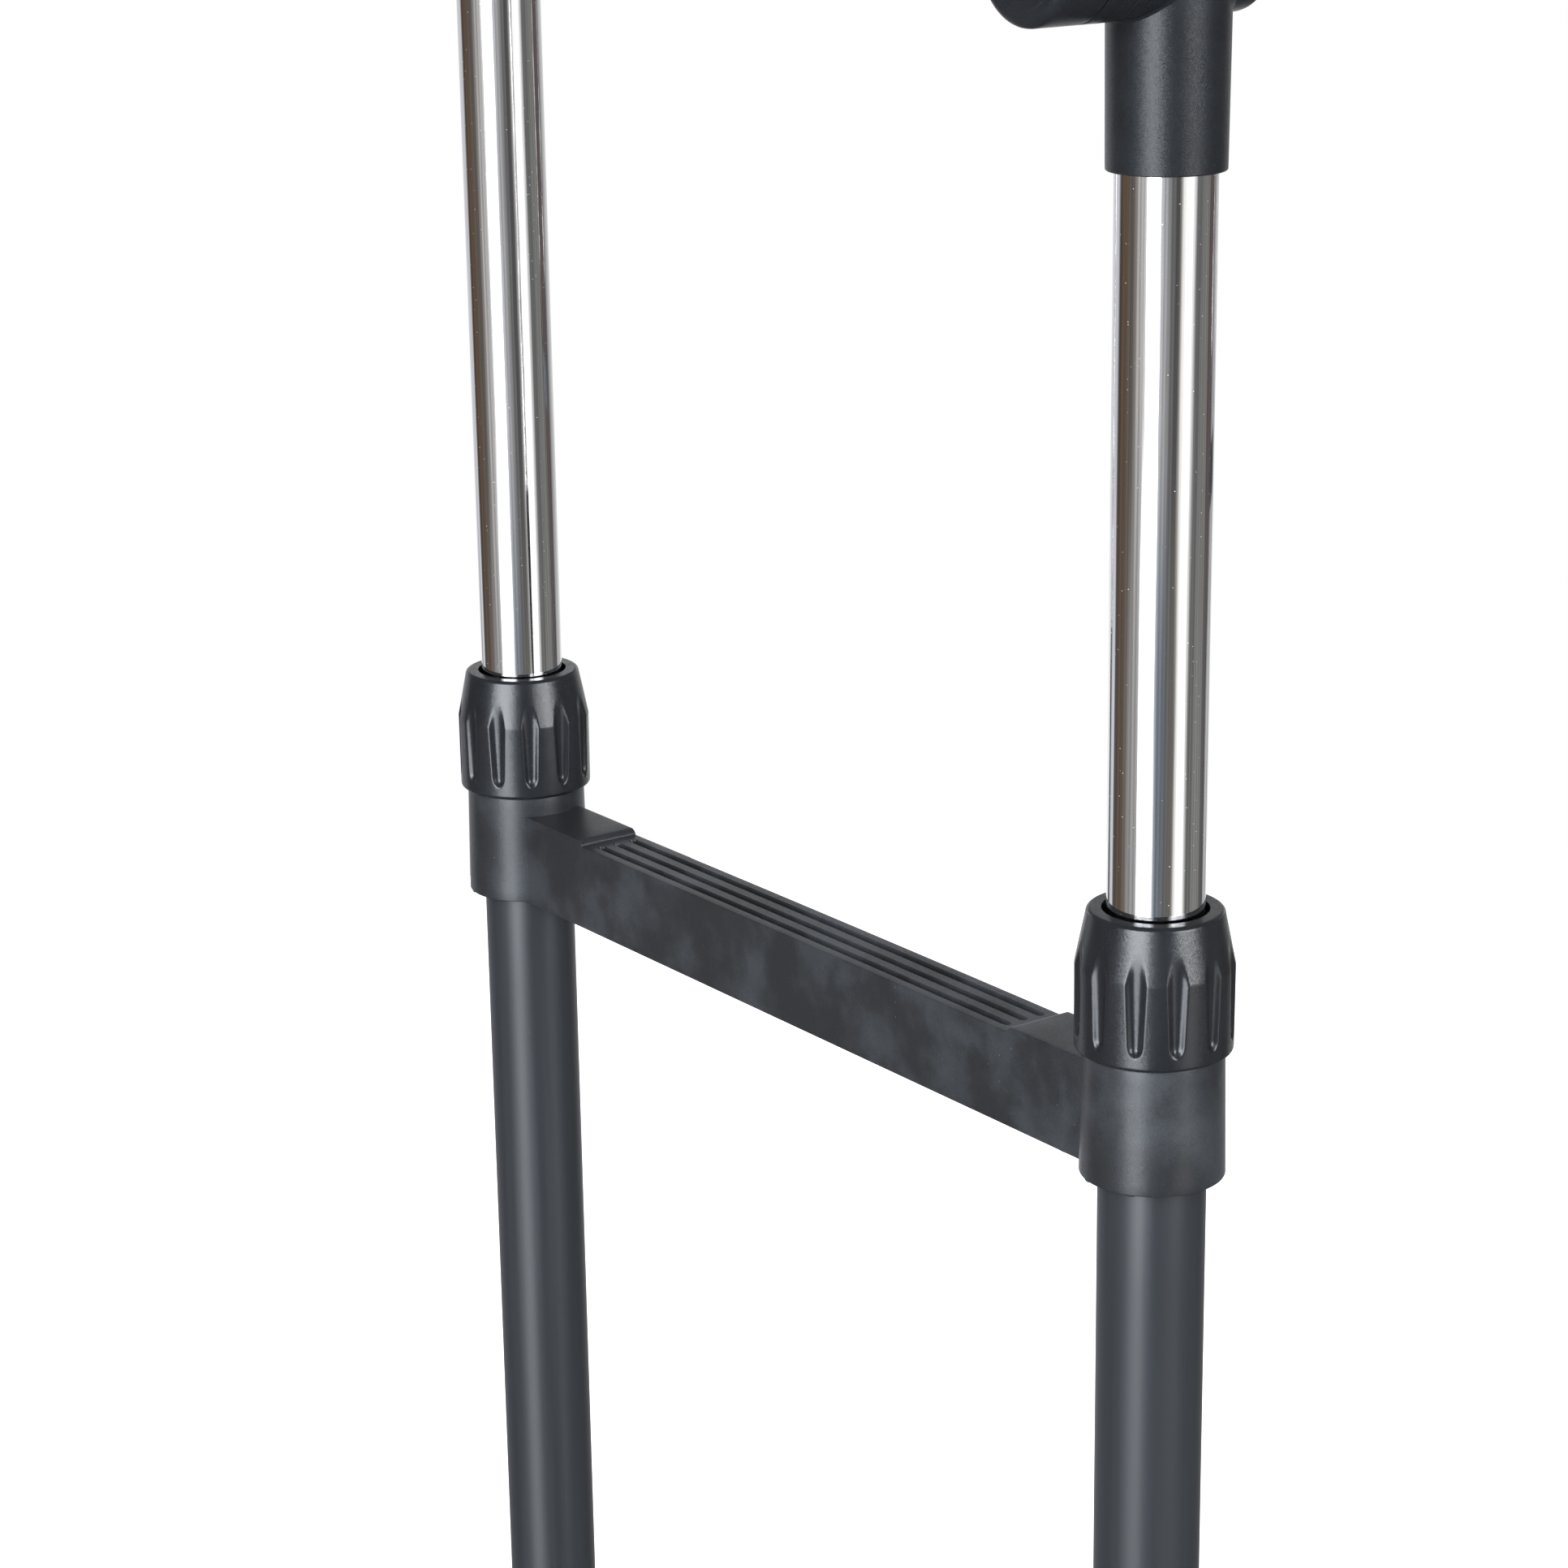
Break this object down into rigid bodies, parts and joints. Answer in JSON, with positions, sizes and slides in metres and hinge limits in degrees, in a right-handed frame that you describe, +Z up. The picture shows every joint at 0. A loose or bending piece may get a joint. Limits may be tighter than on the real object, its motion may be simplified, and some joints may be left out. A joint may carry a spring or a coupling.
{
  "type": "double garment rack",
  "caption": "Rolling clothes rack: two parallel hanging rails at different heights on telescopic posts, held by twist-lock collars, on feet with castors.",
  "frame": {"origin": "on the floor, under the middle of the rack", "axes": "+X along the rails from the left end to the right end, +Y from the low front rail to the high back rail, +Z up"},
  "size_m": [0.8942, 0.44, 1.3199],
  "materials": {
    "grey_plastic": "fine spark texture, charcoal",
    "chrome": "bright plated",
    "tube_paint": "satin dark grey powder coat",
    "nylon": "black moulded",
    "wheel_tread": "matt grey",
    "zinc_steel": "zinc plated"
  },
  "bodies": {
    "base": {"left_foot": "grey_plastic", "left_crossbar": "grey_plastic", "right_foot": "grey_plastic", "right_crossbar": "grey_plastic", "left_front_lower_tube": "tube_paint", "left_front_collet": "nylon", "left_front_castor_stem": "zinc_steel", "left_back_lower_tube": "tube_paint", "left_back_collet": "nylon", "left_back_castor_stem": "zinc_steel", "right_front_lower_tube": "tube_paint", "right_front_collet": "nylon", "right_front_castor_stem": "zinc_steel", "right_back_lower_tube": "tube_paint", "right_back_collet": "nylon", "right_back_castor_stem": "zinc_steel", "front_stretcher": "tube_paint", "back_stretcher": "tube_paint"},
    "front_carriage": {"front_rail": "chrome", "left_front_tee": "grey_plastic", "left_front_rail_cap": "grey_plastic", "left_front_upper_tube": "chrome", "left_front_guide_bush": "nylon", "right_front_tee": "grey_plastic", "right_front_rail_cap": "grey_plastic", "right_front_upper_tube": "chrome", "right_front_guide_bush": "nylon"},
    "back_carriage": {"back_rail": "chrome", "left_back_tee": "grey_plastic", "left_back_rail_cap": "grey_plastic", "left_back_upper_tube": "chrome", "left_back_guide_bush": "nylon", "right_back_tee": "grey_plastic", "right_back_rail_cap": "grey_plastic", "right_back_upper_tube": "chrome", "right_back_guide_bush": "nylon"},
    "left_front_collar_ring": {"left_front_lock_collar": "grey_plastic"},
    "left_front_castor": {"left_front_castor_fork": "nylon", "left_front_castor_axle": "zinc_steel"},
    "left_front_wheel": {"left_front_castor_wheel": "wheel_tread"},
    "left_back_collar_ring": {"left_back_lock_collar": "grey_plastic"},
    "left_back_castor": {"left_back_castor_fork": "nylon", "left_back_castor_axle": "zinc_steel"},
    "left_back_wheel": {"left_back_castor_wheel": "wheel_tread"},
    "right_front_collar_ring": {"right_front_lock_collar": "grey_plastic"},
    "right_front_castor": {"right_front_castor_fork": "nylon", "right_front_castor_axle": "zinc_steel"},
    "right_front_wheel": {"right_front_castor_wheel": "wheel_tread"},
    "right_back_collar_ring": {"right_back_lock_collar": "grey_plastic"},
    "right_back_castor": {"right_back_castor_fork": "nylon", "right_back_castor_axle": "zinc_steel"},
    "right_back_wheel": {"right_back_castor_wheel": "wheel_tread"}
  },
  "joints": [
    {"name": "front_rail_lift", "type": "slide", "parent": "base", "child": "front_carriage", "axis": [0, 0, 1], "range_m": [-0.18, 0.4]},
    {"name": "back_rail_lift", "type": "slide", "parent": "base", "child": "back_carriage", "axis": [0, 0, 1], "range_m": [-0.33, 0.25]},
    {"name": "left_front_collar_turn", "type": "hinge", "parent": "base", "child": "left_front_collar_ring", "pos_m": [-0.4, -0.15, 0.88], "axis": [0, 0, 1], "range_deg": [0, 180]},
    {"name": "left_front_castor_swivel", "type": "hinge", "parent": "base", "child": "left_front_castor", "pos_m": [-0.4, -0.192, 0.05], "axis": [0, 0, 1], "continuous": true},
    {"name": "left_front_wheel_spin", "type": "hinge", "parent": "left_front_castor", "child": "left_front_wheel", "pos_m": [-0.418, -0.192, 0.02415], "axis": [0, 1, 0], "continuous": true},
    {"name": "left_back_collar_turn", "type": "hinge", "parent": "base", "child": "left_back_collar_ring", "pos_m": [-0.4, 0.15, 0.88], "axis": [0, 0, 1], "range_deg": [0, 180]},
    {"name": "left_back_castor_swivel", "type": "hinge", "parent": "base", "child": "left_back_castor", "pos_m": [-0.4, 0.192, 0.05], "axis": [0, 0, 1], "continuous": true},
    {"name": "left_back_wheel_spin", "type": "hinge", "parent": "left_back_castor", "child": "left_back_wheel", "pos_m": [-0.418, 0.192, 0.02415], "axis": [0, 1, 0], "continuous": true},
    {"name": "right_front_collar_turn", "type": "hinge", "parent": "base", "child": "right_front_collar_ring", "pos_m": [0.4, -0.15, 0.88], "axis": [0, 0, 1], "range_deg": [0, 180]},
    {"name": "right_front_castor_swivel", "type": "hinge", "parent": "base", "child": "right_front_castor", "pos_m": [0.4, -0.192, 0.05], "axis": [0, 0, 1], "continuous": true},
    {"name": "right_front_wheel_spin", "type": "hinge", "parent": "right_front_castor", "child": "right_front_wheel", "pos_m": [0.418, -0.192, 0.02415], "axis": [0, 1, 0], "continuous": true},
    {"name": "right_back_collar_turn", "type": "hinge", "parent": "base", "child": "right_back_collar_ring", "pos_m": [0.4, 0.15, 0.88], "axis": [0, 0, 1], "range_deg": [0, 180]},
    {"name": "right_back_castor_swivel", "type": "hinge", "parent": "base", "child": "right_back_castor", "pos_m": [0.4, 0.192, 0.05], "axis": [0, 0, 1], "continuous": true},
    {"name": "right_back_wheel_spin", "type": "hinge", "parent": "right_back_castor", "child": "right_back_wheel", "pos_m": [0.418, 0.192, 0.02415], "axis": [0, 1, 0], "continuous": true}
  ]
}
